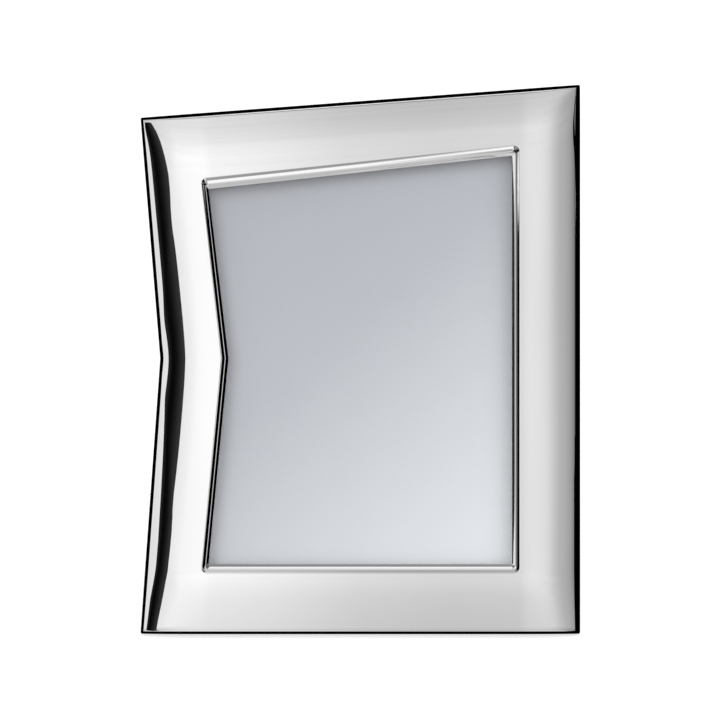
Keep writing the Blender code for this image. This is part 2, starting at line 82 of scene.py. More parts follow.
SHELL_SMOOTHING = math.radians(60)

# Narrow bevel along each run of the outline: widths for top, right, bottom and left
EDGE_BEVELS = (0.00160, 0.00190, 0.00145, 0.00135)
BEVEL_SLOPE = math.tan(math.radians(54))
BEVEL_SOFTNESS = 0.2

# Slope of the lip in degrees at shares of its width: one bead, pressed a little differently along
# the top, the sides and the bottom.
TOP_SLOPES = (
    (0.0, 0), (0.02, 37.5), (0.27, 39.5), (0.32, 44.5), (0.54, 45.5), (0.57, 15), (0.585, 0),
    (0.60, -20), (0.64, -44), (0.76, -45.5), (0.88, -47), (0.91, -33), (0.975, -30),
)
RIGHT_SLOPES = (
    (0.0, 0), (0.03, 37.5), (0.10, 38.5), (0.28, 40.5), (0.32, 33), (0.43, 32), (0.47, 28.5),
    (0.54, 27), (0.565, 0), (0.585, -18), (0.61, -39.4), (0.955, -41.2), (0.975, -60),
)
LEFT_SLOPES = (
    (0.0, 0), (0.03, 38), (0.12, 40), (0.16, 44.5), (0.50, 45.5), (0.545, 15), (0.565, 0),
    (0.585, -18), (0.61, -39.4), (0.955, -41.2), (0.975, -60),
)
BOTTOM_SLOPES = (
    (0.0, 0), (0.03, 36), (0.12, 40), (0.16, 44.5), (0.36, 45.5), (0.38, 15), (0.385, 0),
    (0.39, -18), (0.41, -43), (0.69, -44), (0.73, -39), (0.975, -38.5),
)

shell_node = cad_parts["front_shell"]
foot_line = min(shell_node.data.vertices, key=lambda vert: vert.co.z).co.y
lean_back = Matrix.Translation((-FACE_WIDTH / 2, foot_line, 0.0)) @ Matrix.Rotation(-LEAN, 4, "X")

face_corners = [
    Vector((0.0, LEFT_HEIGHT)),
    Vector((FACE_WIDTH, RIGHT_HEIGHT)),
    Vector((FACE_WIDTH, 0.0)),
    Vector((0.0, 0.0)),
    Vector((KINK_INSET, KINK_HEIGHT)),
]
inward = [Vector((1, -1)), Vector((-1, -1)), Vector((-1, 1)), Vector((1, 1)), Vector((1, 0))]
lip_corners = [corner + way * BORDER for corner, way in zip(face_corners, inward)]
lip_widths = [
    (LIP_SIDE, LIP_TOP), (LIP_SIDE, LIP_TOP), (LIP_SIDE, LIP_BOTTOM), (LIP_SIDE, LIP_BOTTOM),
    (LIP_SIDE, LIP_SIDE),
]
sight_corners = [
    corner + Vector((way.x * width[0], way.y * width[1]))
    for corner, way, width in zip(lip_corners, inward, lip_widths)
]


def edge_distance(point, start, end):
    """Distance to an edge's line, counted inwards."""
    along = (end - start).normalized()
    offset = point - start
    return along.y * offset.x - along.x * offset.y


def quarter_rise(distance, reach, straight):
    """A quarter round that starts with a straight slope instead of an upright one."""
    share = min(1.0, max(0.0, distance) / reach)
    bent = max(share, straight / reach)
    rise = math.sqrt(1.0 - (1.0 - bent) ** 2)
    return rise - (bent - share) * (1.0 - bent) / rise


def side_rise(distance):
    return quarter_rise(distance, DOME_REACH, SIDE_STRAIGHT)


def low_rise(distance):
    slope = LOW_SLOPE_SHARE * (1.0 - min(1.0, max(0.0, distance) / DOME_REACH)) ** LOW_SLOPE_POWER
    shoulder = 1.0 - quarter_rise(distance, LOW_SHOULDER, LOW_STRAIGHT)
    return 1.0 - slope - LOW_SHOULDER / DOME_RISE * shoulder


def bevel_drop(distance, width):
    """How far the narrow bevel lies under the dome, with a soft inner edge."""
    share = max(0.0, distance) / width
    left_over = 1.0 - share
    if share >= 1.0 - BEVEL_SOFTNESS:
        left_over = max(0.0, 1.0 + BEVEL_SOFTNESS - share) ** 2 / (4 * BEVEL_SOFTNESS)
    return BEVEL_SLOPE * width * left_over


def face_height(point):
    """Height of the domed face over the back plane. The left runs blend softly past the kink."""
    top_left, top_right, low_right, low_left, kink = face_corners
    lower = edge_distance(point, low_left, kink)
    upper = edge_distance(point, kink, top_left)
    inner = max(0.0, min(lower, upper))
    blend = KINK_SOFTNESS * inner ** 1.5 / (inner + KINK_START)
    left = (lower + upper + math.sqrt((lower - upper) ** 2 + blend ** 2) - blend) / 2
    top = edge_distance(point, top_left, top_right)
    right = edge_distance(point, top_right, low_right)
    bottom = edge_distance(point, low_right, low_left)
    rise = side_rise(left) * side_rise(top) * side_rise(right) * low_rise(bottom)
    runs = (top, right, bottom, left)
    drop = max(bevel_drop(distance, width) for distance, width in zip(runs, EDGE_BEVELS))
    return WALL_HEIGHT + DOME_RISE * rise - drop


def moved_in(distance):
    """The outline's corners, moved in by a distance from both edges."""
    moved = []
    for i, corner in enumerate(face_corners):
        before = (corner - face_corners[i - 1]).normalized()
        after = (face_corners[(i + 1) % len(face_corners)] - corner).normalized()
        sides = Vector((before.y, -before.x)) + Vector((after.y, -after.x))
        moved.append(corner + sides * distance / (1.0 + before.dot(after)))
    return moved


def rounded_run(corners, radius):
    """Points round a run of corners, each rounded, and close together where the dome turns."""
    arcs = []
    for i, corner in enumerate(corners):
        back = (corners[i - 1] - corner).normalized()
        on = (corners[(i + 1) % len(corners)] - corner).normalized()
        half = back.angle(on) / 2
        start = corner + back * radius / math.tan(half)
        end = corner + on * radius / math.tan(half)
        centre = corner + (back + on).normalized() * radius / math.sin(half)
        first, last = start - centre, end - centre
        sweep = first.angle_signed(last)
        arcs.append([
            centre + Matrix.Rotation(-sweep * step / CORNER_STEPS, 2) @ first
            for step in range(CORNER_STEPS + 1)
        ])
    near = [1.0 - math.cos(math.pi / 2 * step / SIDE_STEPS) for step in range(1, SIDE_STEPS + 1)]
    points = []
    for i, arc in enumerate(arcs):
        start, end = arc[-1], arcs[(i + 1) % len(arcs)][0]
        stretch = min(SIDE_MOST, BORDER / (end - start).length)
        shares = [stretch * share for share in near]
        shares += [stretch + (1 - 2 * stretch) * k / MIDDLE_STEPS for k in range(1, MIDDLE_STEPS)]
        shares += [1.0 - stretch * share for share in reversed(near)]
        points += arc + [start.lerp(end, share) for share in shares]
    return points


def level_ring(corners, radius, height):
    return [Vector((point.x, -height, point.y)) for point in rounded_run(corners, radius)]


def lip_profile(slopes):
    """Height of the lip over the face at even steps, as shares of its width."""
    heights = [0.0]
    step_share = slopes[-1][0] / LIP_STEPS
    for step in range(LIP_STEPS):
        share = step_share * (step + 0.5)
        before, after = next(
            pair for pair in zip(slopes, slopes[1:]) if pair[0][0] <= share <= pair[1][0]
        )
        part = (share - before[0]) / (after[0] - before[0])
        slope = math.radians(before[1] + (after[1] - before[1]) * part)
        heights.append(heights[-1] + math.tan(slope) * step_share)
    return heights


def lip_ring(share, rises, flange_depth=0.0):
    """A ring of the lip. Each run has its own height, and corners lead from one to the next."""
    corners = [lip.lerp(sight, share) for lip, sight in zip(lip_corners, sight_corners)]
    points = rounded_run(corners, LIP_CORNER + (SIGHT_CORNER - LIP_CORNER) * share)
    run_length = len(points) // len(corners)
    ring = []
    for number, point in enumerate(points):
        run, step = divmod(number, run_length)
        turned = min(1.0, step / CORNER_STEPS)
        rise = rises[run - 1] + (rises[run] - rises[run - 1]) * turned
        rise += (-FLANGE_DEPTH - rise) * flange_depth
        ring.append(Vector((point.x, -(WALL_HEIGHT + DOME_RISE + rise), point.y)))
    return ring


shell_rings = [level_ring(moved_in(inset), HEM_CORNER, 0.0) for inset in (HEM, HEM / 2)]
for step in range(CORNER_STEPS + 1):
    turn = math.pi / 2 * step / CORNER_STEPS
    inset = FOLD * (1.0 - math.sin(turn))
    shell_rings.append(level_ring(moved_in(inset), OUTER_CORNER, FOLD * (1.0 - math.cos(turn))))
shell_rings.append(level_ring(face_corners, OUTER_CORNER, WALL_MIDDLE))
dome_shares = [1.0 - math.cos(math.pi / 2 * step / DOME_STEPS) for step in range(DOME_STEPS)]
for share in (*dome_shares, *DOME_END):
    corners = [face.lerp(lip, share) for face, lip in zip(face_corners, lip_corners)]
    run = rounded_run(corners, OUTER_CORNER + (LIP_CORNER - OUTER_CORNER) * share)
    shell_rings.append([Vector((point.x, -face_height(point), point.y)) for point in run])
lip_lines = [
    [width * height for height in lip_profile(slopes)]
    for slopes, width in (
        (TOP_SLOPES, LIP_TOP), (RIGHT_SLOPES, LIP_SIDE), (BOTTOM_SLOPES, LIP_BOTTOM),
        (LEFT_SLOPES, LIP_SIDE), (LEFT_SLOPES, LIP_SIDE),
    )
]
lip_end = LEFT_SLOPES[-1][0]
for step in range(1, LIP_STEPS + 1):
    shell_rings.append(lip_ring(lip_end * step / LIP_STEPS, [line[step] for line in lip_lines]))
for part in FLANGE_STEPS:
    share = lip_end + (1.0 - lip_end) * part
    shell_rings.append(lip_ring(share, [line[-1] for line in lip_lines], part))

bpy.ops.object.select_all(action="DESELECT")
bpy.ops.mesh.primitive_circle_add(vertices=len(shell_rings[0]), radius=FACE_WIDTH / 2)
shell = bpy.context.object
shell.name = "silver_front_shell"
bpy.ops.object.mode_set(mode="EDIT")
for number, ring in enumerate(shell_rings):
    sheet = bmesh.from_edit_mesh(shell.data)
    if number == 0:
        sheet.verts.ensure_lookup_table()
        rim = [vert.index for vert in sheet.verts]
    else:
        bpy.ops.mesh.extrude_edges_move()
        sheet = bmesh.from_edit_mesh(shell.data)
        sheet.verts.ensure_lookup_table()
        rim = [
            next(
                edge.other_vert(sheet.verts[old]).index
                for edge in sheet.verts[old].link_edges
                if edge.other_vert(sheet.verts[old]).select
            )
            for old in rim
        ]
    for index, place in zip(rim, ring):
        sheet.verts[index].co = place
    bmesh.update_edit_mesh(shell.data)
bpy.ops.mesh.select_all(action="SELECT")
bpy.ops.mesh.normals_make_consistent(inside=False)
sheet = bmesh.from_edit_mesh(shell.data)
crown = max(sheet.faces, key=lambda face: -face.calc_center_median().y)
if crown.normal.y > 0:
    bpy.ops.mesh.flip_normals()
bpy.ops.object.mode_set(mode="OBJECT")
wall = shell.modifiers.new("sheet", "SOLIDIFY")
wall.thickness = SHEET
wall.offset = -1.0
wall.use_even_offset = True
bpy.ops.object.modifier_apply(modifier=wall.name)
bpy.ops.object.shade_smooth_by_angle(angle=SHELL_SMOOTHING)

SILVER_SHADE = 0.95
SILVER_ROUGHNESS = 0.035
HAZE_SCALE = 38.0
WIPING_TURN = 0.5
WIPING_SCALE = (900, 900, 25)

# Like every spread: from and to, over a range of the pattern's values
SILVER_SPREAD = (0.022, 0.055, 0.12, 0.42)


def new_finish(name, colour, roughness, metallic=0.0):
    """A finish with one shader, whose steady values are set on the shader itself."""
    made = bpy.data.materials.new(name)
    made.use_nodes = True
    shader = made.node_tree.nodes["Principled BSDF"]
    shader.inputs["Base Color"].default_value = (*colour, 1.0)
    shader.inputs["Roughness"].default_value = roughness
    shader.inputs["Metallic"].default_value = metallic
    return made, shader


def add_node(finish, kind, inputs=(), **settings):
    """A node in a finish: its settings, then pairs of a socket and what feeds it."""
    node = finish.node_tree.nodes.new(kind)
    for setting, value in settings.items():
        setattr(node, setting, value)
    for socket, source in inputs:
        if isinstance(source, bpy.types.NodeSocket):
            finish.node_tree.links.new(source, node.inputs[socket])
        else:
            node.inputs[socket].default_value = source
    return node


def worked_out(finish, operation, *values):
    """One arithmetic step on numbers or on other nodes' results."""
    return add_node(
        finish, "ShaderNodeMath", list(enumerate(values)), operation=operation
    ).outputs[0]


def upright_places(finish, turn=0.0, scale=(1, 1, 1), lean=LEAN):
    """Places on a piece as if it stood upright, turned about its depth and stretched."""
    here = add_node(finish, "ShaderNodeTexCoord").outputs["Object"]
    upright = add_node(
        finish, "ShaderNodeMapping", [("Vector", here), ("Rotation", (lean, turn, 0))]
    )
    pattern = add_node(
        finish, "ShaderNodeMapping", [("Vector", upright.outputs["Vector"]), ("Scale", scale)]
    )
    return pattern.outputs["Vector"]


def mottling(finish, places, scale, detail, **more):
    """An uneven pattern's values at the places given."""
    inputs = [("Vector", places), ("Scale", scale), ("Detail", detail), *more.items()]
    return add_node(finish, "ShaderNodeTexNoise", inputs).outputs["Fac"]


def spread(finish, source, low, high, start=0.0, end=1.0):
    """Maps a pattern's values from start and end to low and high."""
    return add_node(finish, "ShaderNodeMapRange", [
        ("Value", source), ("From Min", start), ("From Max", end),
        ("To Min", low), ("To Max", high),
    ]).outputs["Result"]


def connect(finish, source, shader, socket):
    finish.node_tree.links.new(source, shader.inputs[socket])


def polished_silver():
    """Silver plate: a mirror with a breath of haze and hair-fine wiping marks in its gloss."""
    finish, shader = new_finish(
        "polished_silver_plate", (SILVER_SHADE, SILVER_SHADE, SILVER_SHADE), SILVER_ROUGHNESS, 1.0
    )
    haze = mottling(finish, upright_places(finish), HAZE_SCALE, 3.0)
    marks = mottling(finish, upright_places(finish, WIPING_TURN, WIPING_SCALE), 1.0, 2.0)
    both = worked_out(finish, "MULTIPLY", haze, marks)
    connect(finish, spread(finish, both, *SILVER_SPREAD), shader, "Roughness")
    return finish


def set_in_frame(piece, finish, slot, body, *nodes, place=Matrix.Identity(4)):
    """Leans a piece modelled upright into place, and puts it in for the CAD nodes it stands for."""
    bpy.ops.object.select_all(action="DESELECT")
    piece.select_set(True)
    bpy.context.view_layer.objects.active = piece
    piece.matrix_world = lean_back @ place @ piece.matrix_world
    bpy.ops.object.transform_apply(location=True, rotation=True, scale=True)
    piece.data.materials.clear()
    piece.data.materials.append(finish)
    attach(piece, body)
    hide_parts(*nodes)


set_in_frame(shell, polished_silver(), "silver_plate", "frame", "front_shell")

# Core rails: five lengths of stained hardwood, mitred and glued behind the shell. Each has its
# grain along its own length, and they show at the back between the hem and the panel.

RAIL_GRAIN = {
    "core_rail_top": math.atan2(TOP_DROP, FACE_WIDTH),
    "core_rail_right": math.pi / 2,
    "core_rail_bottom": 0.0,
    "core_rail_left_lower": math.pi / 2 - math.atan2(KINK_INSET, KINK_HEIGHT),
    "core_rail_left_upper": math.pi / 2 + math.atan2(KINK_INSET, LEFT_HEIGHT - KINK_HEIGHT),
}
RAIL_DARK = (0.045, 0.022, 0.013)
RAIL_LIGHT = (0.150, 0.078, 0.043)
RAIL_ROUGHNESS = 0.42
FIGURE_SCALE = (5, 70, 70)
PORE_SCALE = (120, 2400, 2400)
PORE_SPREAD = (0.45, 1.0, 0.34, 0.52)
PORE_RELIEF = (0.25, 0.0002)
CLOUD_SCALE = 22.0
CLOUD_STRENGTH = 0.14
STAIN_RANGE = (0.30, 0.72)
WOOD_DULLING = (-0.06, 0.10)
WOOD_COAT = 0.3
WOOD_COAT_ROUGHNESS = 0.18


def colour_ramp(finish, source, stops):
    """Colours at shares of a pattern's values, straight from stop to stop."""
    ramp_node = add_node(finish, "ShaderNodeValToRGB", [("Fac", source)])
    elements = ramp_node.color_ramp.elements
    elements.remove(elements[1])
    for number, (position, colour) in enumerate(stops):
        element = elements.new(position) if number else elements[0]
        element.position = position
        element.color = (*colour, 1.0)
    return ramp_node.outputs["Color"]


def shaded(finish, colour, shade):
    return add_node(
        finish, "ShaderNodeVectorMath", [(0, colour), (1, shade)], operation="MULTIPLY"
    ).outputs["Vector"]


def press_relief(finish, shader, height, strength, distance):
    relief = add_node(finish, "ShaderNodeBump", [
        ("Height", height), ("Strength", strength), ("Distance", distance),
    ])
    connect(finish, relief.outputs["Normal"], shader, "Normal")


def stained_wood(name, dark, light, grain_turn, roughness, lean=LEAN):
    """Dark stained wood under lacquer: long figure, fine pores, and stain that took unevenly."""
    finish, shader = new_finish(name, dark, roughness)
    along_grain = upright_places(finish, grain_turn, FIGURE_SCALE, lean)
    figure = mottling(finish, along_grain, 1.0, 5.0, Roughness=0.62, Distortion=0.6)
    pores = mottling(finish, upright_places(finish, grain_turn, PORE_SCALE, lean), 1.0, 2.0)
    cloud = mottling(finish, upright_places(finish), CLOUD_SCALE, 2.0)
    unevenness = spread(finish, cloud, -CLOUD_STRENGTH, CLOUD_STRENGTH)
    tone = worked_out(finish, "ADD", figure, unevenness)
    stain = colour_ramp(finish, tone, zip(STAIN_RANGE, (dark, light)))
    stain = shaded(finish, stain, spread(finish, pores, *PORE_SPREAD))
    connect(finish, stain, shader, "Base Color")
    dulled = spread(finish, tone, *(roughness + change for change in WOOD_DULLING))
    connect(finish, dulled, shader, "Roughness")
    press_relief(finish, shader, pores, *PORE_RELIEF)
    shader.inputs["Coat Weight"].default_value = WOOD_COAT
    shader.inputs["Coat Roughness"].default_value = WOOD_COAT_ROUGHNESS
    return finish


def dress(node, finish):
    """Gives a CAD node that stays in view its finish."""
    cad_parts[node].data.materials.clear()
    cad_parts[node].data.materials.append(finish)


for rail, grain_turn in RAIL_GRAIN.items():
    wood = stained_wood(f"{rail}_stain", RAIL_DARK, RAIL_LIGHT, grain_turn, RAIL_ROUGHNESS)
    dress(rail, wood)

# Glass pane: 2 mm of clear flat glass, cut to the rebate and held against the shell's flange. A
# trace of dust dulls it here and there, and it lets plain light through to the card.

GLASS_TINT = (0.985, 0.99, 0.992)
GLASS_SHADOW = (0.975, 0.98, 0.98)
GLASS_IOR = 1.5
DUST_SCALE = 60.0
DUST_SPREAD = (0.0, 0.012, 0.45, 0.75)

pane_glass, pane_shader = new_finish("clear_glass", GLASS_TINT, 0.0)
pane_shader.inputs["Transmission Weight"].default_value = 1.0
pane_shader.inputs["IOR"].default_value = GLASS_IOR
pane_dust = mottling(pane_glass, upright_places(pane_glass), DUST_SCALE, 4.0)
connect(pane_glass, spread(pane_glass, pane_dust, *DUST_SPREAD), pane_shader, "Roughness")
pane_ray = add_node(pane_glass, "ShaderNodeLightPath")
pane_lit = worked_out(
    pane_glass, "MAXIMUM", pane_ray.outputs["Is Shadow Ray"], pane_ray.outputs["Is Diffuse Ray"]
)
pane_clear = add_node(pane_glass, "ShaderNodeBsdfTransparent", [("Color", (*GLASS_SHADOW, 1.0))])
pane_both = add_node(pane_glass, "ShaderNodeMixShader", [
    (0, pane_lit), (1, pane_shader.outputs["BSDF"]), (2, pane_clear.outputs["BSDF"]),
])
pane_output = pane_glass.node_tree.nodes["Material Output"]
connect(pane_glass, pane_both.outputs["Shader"], pane_output, "Surface")
dress("glass_pane", pane_glass)

# Insert card: smooth card, 0.3 mm thick, that lies against the glass. Its pale blue grey lightens
# towards the lower right corner, and it is otherwise bare.

CARD_BLUE = (0.6, 0.64, 0.72)
CARD_ROUGHNESS = 0.55
CARD_BLUES = (
    (0.0, (0.429, 0.439, 0.489)), (0.45, (0.532, 0.547, 0.592)), (1.0, (0.945, 0.960, 0.995)),
)
CARD_ACROSS_SPREAD = (0.0, 0.385, -0.072, 0.072)
CARD_DOWN_SPREAD = (0.615, 0.0, 0.026, 0.226)
CARD_FIBRE_SCALE = 1500.0
CARD_FIBRE_SPREAD = (0.985, 1.015)

card_finish, card_shader = new_finish("pale_blue_card", CARD_BLUE, CARD_ROUGHNESS)
card_place = add_node(
    card_finish, "ShaderNodeSeparateXYZ", [("Vector", upright_places(card_finish))]
)
slant = worked_out(
    card_finish, "ADD", spread(card_finish, card_place.outputs["X"], *CARD_ACROSS_SPREAD),
    spread(card_finish, card_place.outputs["Z"], *CARD_DOWN_SPREAD),
)
card_fibre = mottling(card_finish, upright_places(card_finish), CARD_FIBRE_SCALE, 2.0)
card_tone = shaded(
    card_finish, colour_ramp(card_finish, slant, CARD_BLUES),
    spread(card_finish, card_fibre, *CARD_FIBRE_SPREAD),
)
connect(card_finish, card_tone, card_shader, "Base Color")
dress("insert_card", card_finish)

# Corrugated pad: brown board with a fluted core, cut to fill the rebate behind the card. It presses
# the card and the glass forward against the flange.

PAD_BROWN = (0.46, 0.31, 0.18)
PAD_ROUGHNESS = 0.85
PAD_BROWNS = ((0.3, (0.36, 0.23, 0.13)), (0.7, (0.52, 0.36, 0.21)))
PAD_FIBRE_SCALE = (300, 900, 900)
FLUTE_SCALE = 45.0
FLUTE_RELIEF = (0.4, 0.0003)

pad_finish, pad_shader = new_finish("brown_corrugated_board", PAD_BROWN, PAD_ROUGHNESS)
pad_flutes = add_node(pad_finish, "ShaderNodeTexWave", [
    ("Vector", upright_places(pad_finish)), ("Scale", FLUTE_SCALE), ("Distortion", 0.3),
    ("Detail", 1.0),
])
pad_fibre = mottling(pad_finish, upright_places(pad_finish, 0.0, PAD_FIBRE_SCALE), 1.0, 4.0)
connect(pad_finish, colour_ramp(pad_finish, pad_fibre, PAD_BROWNS), pad_shader, "Base Color")
press_relief(pad_finish, pad_shader, pad_flutes.outputs["Fac"], *FLUTE_RELIEF)
dress("corrugated_pad", pad_finish)

# Back panel: 3 mm board with a dark stained veneer, its edges eased by hand. It closes the rebate
# behind the pad and carries the strut's hinge.

PANEL_EASE = 0.0005
PANEL_DARK = (0.060, 0.030, 0.017)
PANEL_LIGHT = (0.175, 0.092, 0.050)
PANEL_ROUGHNESS = 0.36
WOOD_ANGLE = 40


def upright_box(node, place=Matrix.Identity(4)):
    """Lowest and highest corner of a CAD node, with the frame upright or the strut folded down."""
    undo = (lean_back @ place).inverted()
    corners = [undo @ vert.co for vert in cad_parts[node].data.vertices]
    low = Vector([min(corner[axis] for corner in corners) for axis in range(3)])
    high = Vector([max(corner[axis] for corner in corners) for axis in range(3)])
    return low, high


def cut_block(name, low, high):
    """A block of material between two corners."""
    bpy.ops.object.select_all(action="DESELECT")
    bpy.ops.mesh.primitive_cube_add(size=1, location=(low + high) / 2)
    block = bpy.context.object
    block.name = name
    block.scale = high - low
    bpy.ops.object.transform_apply(location=True, rotation=True, scale=True)
    return block


def ease_edges(piece, width, segments=2, angle=WOOD_ANGLE):
    """Breaks a piece's sharp edges and smooths what is left between them."""
    eased = piece.modifiers.new("eased_edges", "BEVEL")
    eased.width = width
    eased.segments = segments
    eased.limit_method = "ANGLE"
    eased.angle_limit = math.radians(angle)
    bpy.context.view_layer.objects.active = piece
    bpy.ops.object.modifier_apply(modifier=eased.name)
    bpy.ops.object.select_all(action="DESELECT")
    piece.select_set(True)
    bpy.ops.object.shade_smooth_by_angle(angle=math.radians(angle))


panel = cut_block("veneered_back_panel", *upright_box("back_panel"))
ease_edges(panel, PANEL_EASE, 3)
veneer = stained_wood(
    "panel_veneer", PANEL_DARK, PANEL_LIGHT, math.pi / 2, PANEL_ROUGHNESS
)
set_in_frame(panel, veneer, "panel_wood", "frame", "back_panel")

# Turn buttons: seven brass plated tongues of 0.8 mm spring steel with round ends. Each turns on its
# own screw in the core rail, and its tongue reaches over the panel and holds it in the rebate.

BUTTONS = {
    "top": -math.pi / 2, "right_upper": math.pi, "right_lower": math.pi,
    "bottom_right": math.pi / 2, "bottom_left": math.pi / 2, "left_lower": 0.0, "left_upper": 0.0,
}
BUTTON_THICK = 0.0008
BUTTON_WIDTH = 0.0090
BUTTON_REACH = 0.0110
BUTTON_TAIL = 0.0050
BUTTON_EASE = 0.00018
SCREW_HOLE = 0.0014
ROUND_STEPS = 48
METAL_ANGLE = 50
BRASS = (0.72, 0.55, 0.28)
DULL_BRASS = (0.46, 0.33, 0.16)
BRASS_ROUGHNESS = 0.30
LINE_SCALE = (180, 5200, 5200)
LINE_RELIEF = (0.06, 0.00005)
SPOT_SCALE = 420.0
SPOT_SPREAD = (0.0, 0.75, 0.48, 0.72)
METAL_DULLING = (-0.08, 0.14)
METAL_RANGE = (0.7, 1.3)


def use_tool(piece, tool, operation):
    """Cuts with a tool, or welds it on, and puts the tool away."""
    step = piece.modifiers.new("worked", "BOOLEAN")
    step.operation = operation
    step.solver = "EXACT"
    step.object = tool
    bpy.context.view_layer.objects.active = piece
    bpy.ops.object.modifier_apply(modifier=step.name)
    bpy.data.objects.remove(tool, do_unlink=True)


def round_bar(name, radius, length, place, axis="Z"):
    """A round bar about a point, along one axis, with no corner point square to its axes."""
    bpy.ops.object.select_all(action="DESELECT")
    turns = {"X": (0, math.pi / 2, 0), "Z": (0, 0, 0)}
    bpy.ops.mesh.primitive_cylinder_add(vertices=ROUND_STEPS, radius=radius, depth=length)
    bar = bpy.context.object
    bar.name = name
    half_step = Matrix.Rotation(math.pi / ROUND_STEPS, 4, "Z")
    bar.data.transform(half_step)
    bar.rotation_euler = turns[axis]
    bar.location = place
    bpy.ops.object.transform_apply(location=True, rotation=True, scale=True)
    return bar


def stamped_button():
    """One button lying flat, with its tongue along X and its pivot at the origin."""
    button = round_bar("stamped_button", BUTTON_WIDTH / 2, BUTTON_THICK, (0, 0, 0))
    bpy.ops.object.mode_set(mode="EDIT")
    for tip in (BUTTON_REACH - BUTTON_WIDTH / 2, BUTTON_WIDTH / 2 - BUTTON_TAIL):
        bpy.ops.mesh.select_all(action="DESELECT")
        blank = bmesh.from_edit_mesh(button.data)
        for vert in blank.verts:
            vert.select = abs(vert.co.x) <= BUTTON_WIDTH / 2 and vert.co.x * tip > 0
        blank.select_flush_mode()
        bmesh.update_edit_mesh(button.data)
        bpy.ops.transform.translate(value=(tip, 0, 0))
    bpy.ops.object.mode_set(mode="OBJECT")
    use_tool(button, round_bar("punch", SCREW_HOLE, 4 * BUTTON_THICK, (0, 0, 0)), "DIFFERENCE")
    ease_edges(button, BUTTON_EASE, 2, METAL_ANGLE)
    return button


def plated_metal(name, bright, dull, roughness, rub_turn=0.0):
    """Plated steel: fine rolling lines, and dull spots where it was handled."""
    finish, shader = new_finish(name, bright, roughness, 1.0)
    lines = mottling(finish, upright_places(finish, rub_turn, LINE_SCALE), 1.0, 2.0)
    spots = mottling(finish, upright_places(finish), SPOT_SCALE, 4.0, Roughness=0.6)
    dullness = spread(finish, spots, *SPOT_SPREAD)
    tint = colour_ramp(finish, dullness, ((0.0, bright), (1.0, dull)))
    connect(finish, tint, shader, "Base Color")
    both = worked_out(finish, "ADD", lines, spots)
    ends = [roughness + change for change in METAL_DULLING]
    connect(finish, spread(finish, both, *ends, *METAL_RANGE), shader, "Roughness")
    press_relief(finish, shader, lines, *LINE_RELIEF)
    return finish


def made_again(first, name):
    """Another copy of a finished piece, with a mesh of its own."""
    piece = first.copy()
    piece.data = first.data.copy()
    piece.name = name
    bpy.context.scene.collection.objects.link(piece)
    return piece


button_metal = plated_metal("brass_plated_steel", BRASS, DULL_BRASS, BRASS_ROUGHNESS)
first_button = stamped_button()
pivots = {}
for spot, pointing in BUTTONS.items():
    low, high = upright_box(f"turn_button_{spot}")
    outward = Vector((math.cos(pointing), 0, math.sin(pointing)))
    pivots[spot] = (low + high) / 2 - outward * (BUTTON_REACH - BUTTON_TAIL) / 2
    button = made_again(first_button, f"turn_button_{spot}_tongue")
    turn = Matrix.Rotation(-pointing, 4, "Y") @ Matrix.Rotation(math.pi / 2, 4, "X")
    set_in_frame(button, button_metal, "button_steel", f"button_{spot}", f"turn_button_{spot}",
                 place=Matrix.Translation(pivots[spot]) @ turn)
bpy.data.objects.remove(first_button, do_unlink=True)

# Button screws: seven slotted wood screws with low domed heads, driven through the buttons into the
# rails. Each slot points where the driver left it.

SLOT_TURNS = {
    "top": 0.4, "right_upper": 1.9, "right_lower": 2.6,
    "bottom_right": 1.2, "bottom_left": -0.5, "left_lower": 0.8, "left_upper": -0.9,
}
SCREW_HEAD_RADIUS = 0.0027
SCREW_HEAD_HEIGHT = 0.0012
SCREW_RADIUS = 0.0011
SCREW_LENGTH = 0.0085
SCREW_TIP = 0.0025
SCREW_TIP_SHARE = 0.08
SCREW_EASE = 0.00006
SLOT_WIDTH = 0.0007
SLOT_DEPTH = 0.0006
BRIGHT_STEEL = (0.66, 0.66, 0.65)
DULL_STEEL = (0.47, 0.46, 0.44)
STEEL_ROUGHNESS = 0.24
STEEL_RUB_TURN = 0.9


def headed_pin(name, head_radius, head_height, shank_radius, shank_length):
    """A domed head on a plain shank, standing on its shank with the head's seat at the origin."""
    bpy.ops.object.select_all(action="DESELECT")
    bpy.ops.mesh.primitive_uv_sphere_add(
        segments=ROUND_STEPS, ring_count=ROUND_STEPS // 2, radius=head_radius
    )
    pin = bpy.context.object
    pin.name = name
    pin.scale = (1, 1, head_height / head_radius)
    bpy.ops.object.transform_apply(location=True, rotation=True, scale=True)
    bpy.ops.object.mode_set(mode="EDIT")
    bpy.ops.mesh.select_all(action="SELECT")
    bpy.ops.mesh.bisect(plane_co=(0, 0, 0), plane_no=(0, 0, 1), use_fill=True, clear_inner=True)
    bpy.ops.mesh.select_all(action="DESELECT")
    head = bmesh.from_edit_mesh(pin.data)
    seat = min(head.faces, key=lambda face: face.normal.z)
    seat.select = True
    bmesh.update_edit_mesh(pin.data)
    bpy.ops.mesh.inset(thickness=head_radius - shank_radius)
    bpy.ops.mesh.extrude_region_move(TRANSFORM_OT_translate={"value": (0, 0, -shank_length)})
    bpy.ops.object.mode_set(mode="OBJECT")
    return pin


